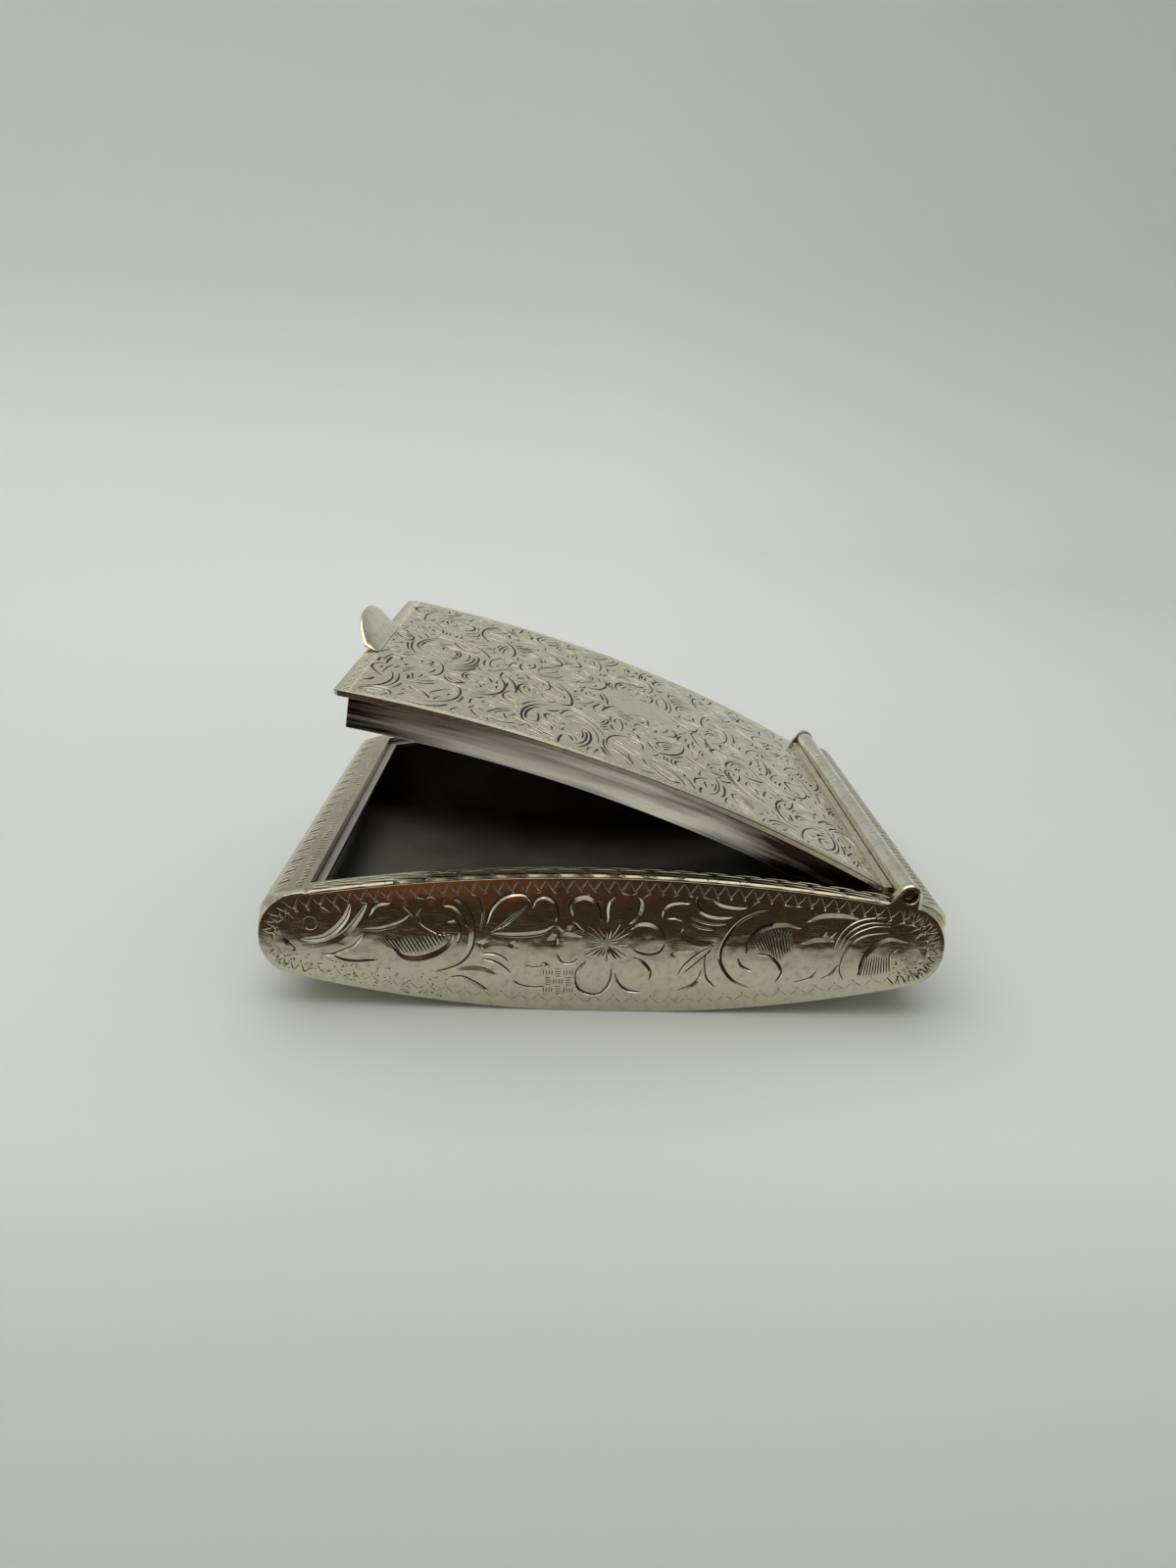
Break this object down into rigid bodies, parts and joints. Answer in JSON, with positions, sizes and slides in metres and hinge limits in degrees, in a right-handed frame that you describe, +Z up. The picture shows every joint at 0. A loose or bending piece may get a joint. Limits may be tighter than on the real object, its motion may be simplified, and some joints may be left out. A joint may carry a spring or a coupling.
{
  "type": "cigarette case",
  "caption": "Pocket cigarette case of engraved silver with a lens-shaped section, a hinged inset lid, a thumb-piece and a barrel hinge.",
  "frame": {"origin": "centre of the case's length and depth, on the surface it stands on, under the worn land of its rounded bottom", "axes": "+Z up; +X towards the hinge, -X towards the thumb-piece; -Y towards the front panel, the side that faces the viewer"},
  "size_m": [0.086, 0.0672, 0.0448],
  "materials": {
    "silver": "engraved silver, worn satin-bright, with dark tarnish in the cuts",
    "inner_silver": "dull brushed silver",
    "tarnished_silver": "brown and purple-grey tarnish over smooth silver",
    "brass": "worn"
  },
  "bodies": {
    "base": {"bottom_wrap": "silver", "front_panel": "silver", "back_panel": "silver", "front_rim": "silver", "back_rim": "silver", "thumb_end_rim": "silver", "hinge_end_rim": "silver", "front_ledge": "inner_silver", "back_ledge": "inner_silver", "thumb_end_ledge": "inner_silver", "base_hinge_bearer": "silver", "base_knuckle_front": "silver", "base_knuckle_middle": "silver", "base_knuckle_back": "silver", "hinge_pin": "brass"},
    "lid": {"lid_plate": "silver", "lid_hinge_bearer": "silver", "lid_knuckle_front": "silver", "lid_knuckle_back": "silver", "lid_front_flange": "tarnished_silver", "lid_back_flange": "tarnished_silver", "lid_thumb_end_flange": "tarnished_silver", "lid_hinge_end_flange": "tarnished_silver", "thumb_piece": "silver"}
  },
  "joints": [
    {"name": "lid_hinge", "type": "hinge", "parent": "base", "child": "lid", "pos_m": [0.0378, 0, 0.0169], "axis": [0, 1, 0], "range_deg": [-19.5, 90.5]}
  ]
}
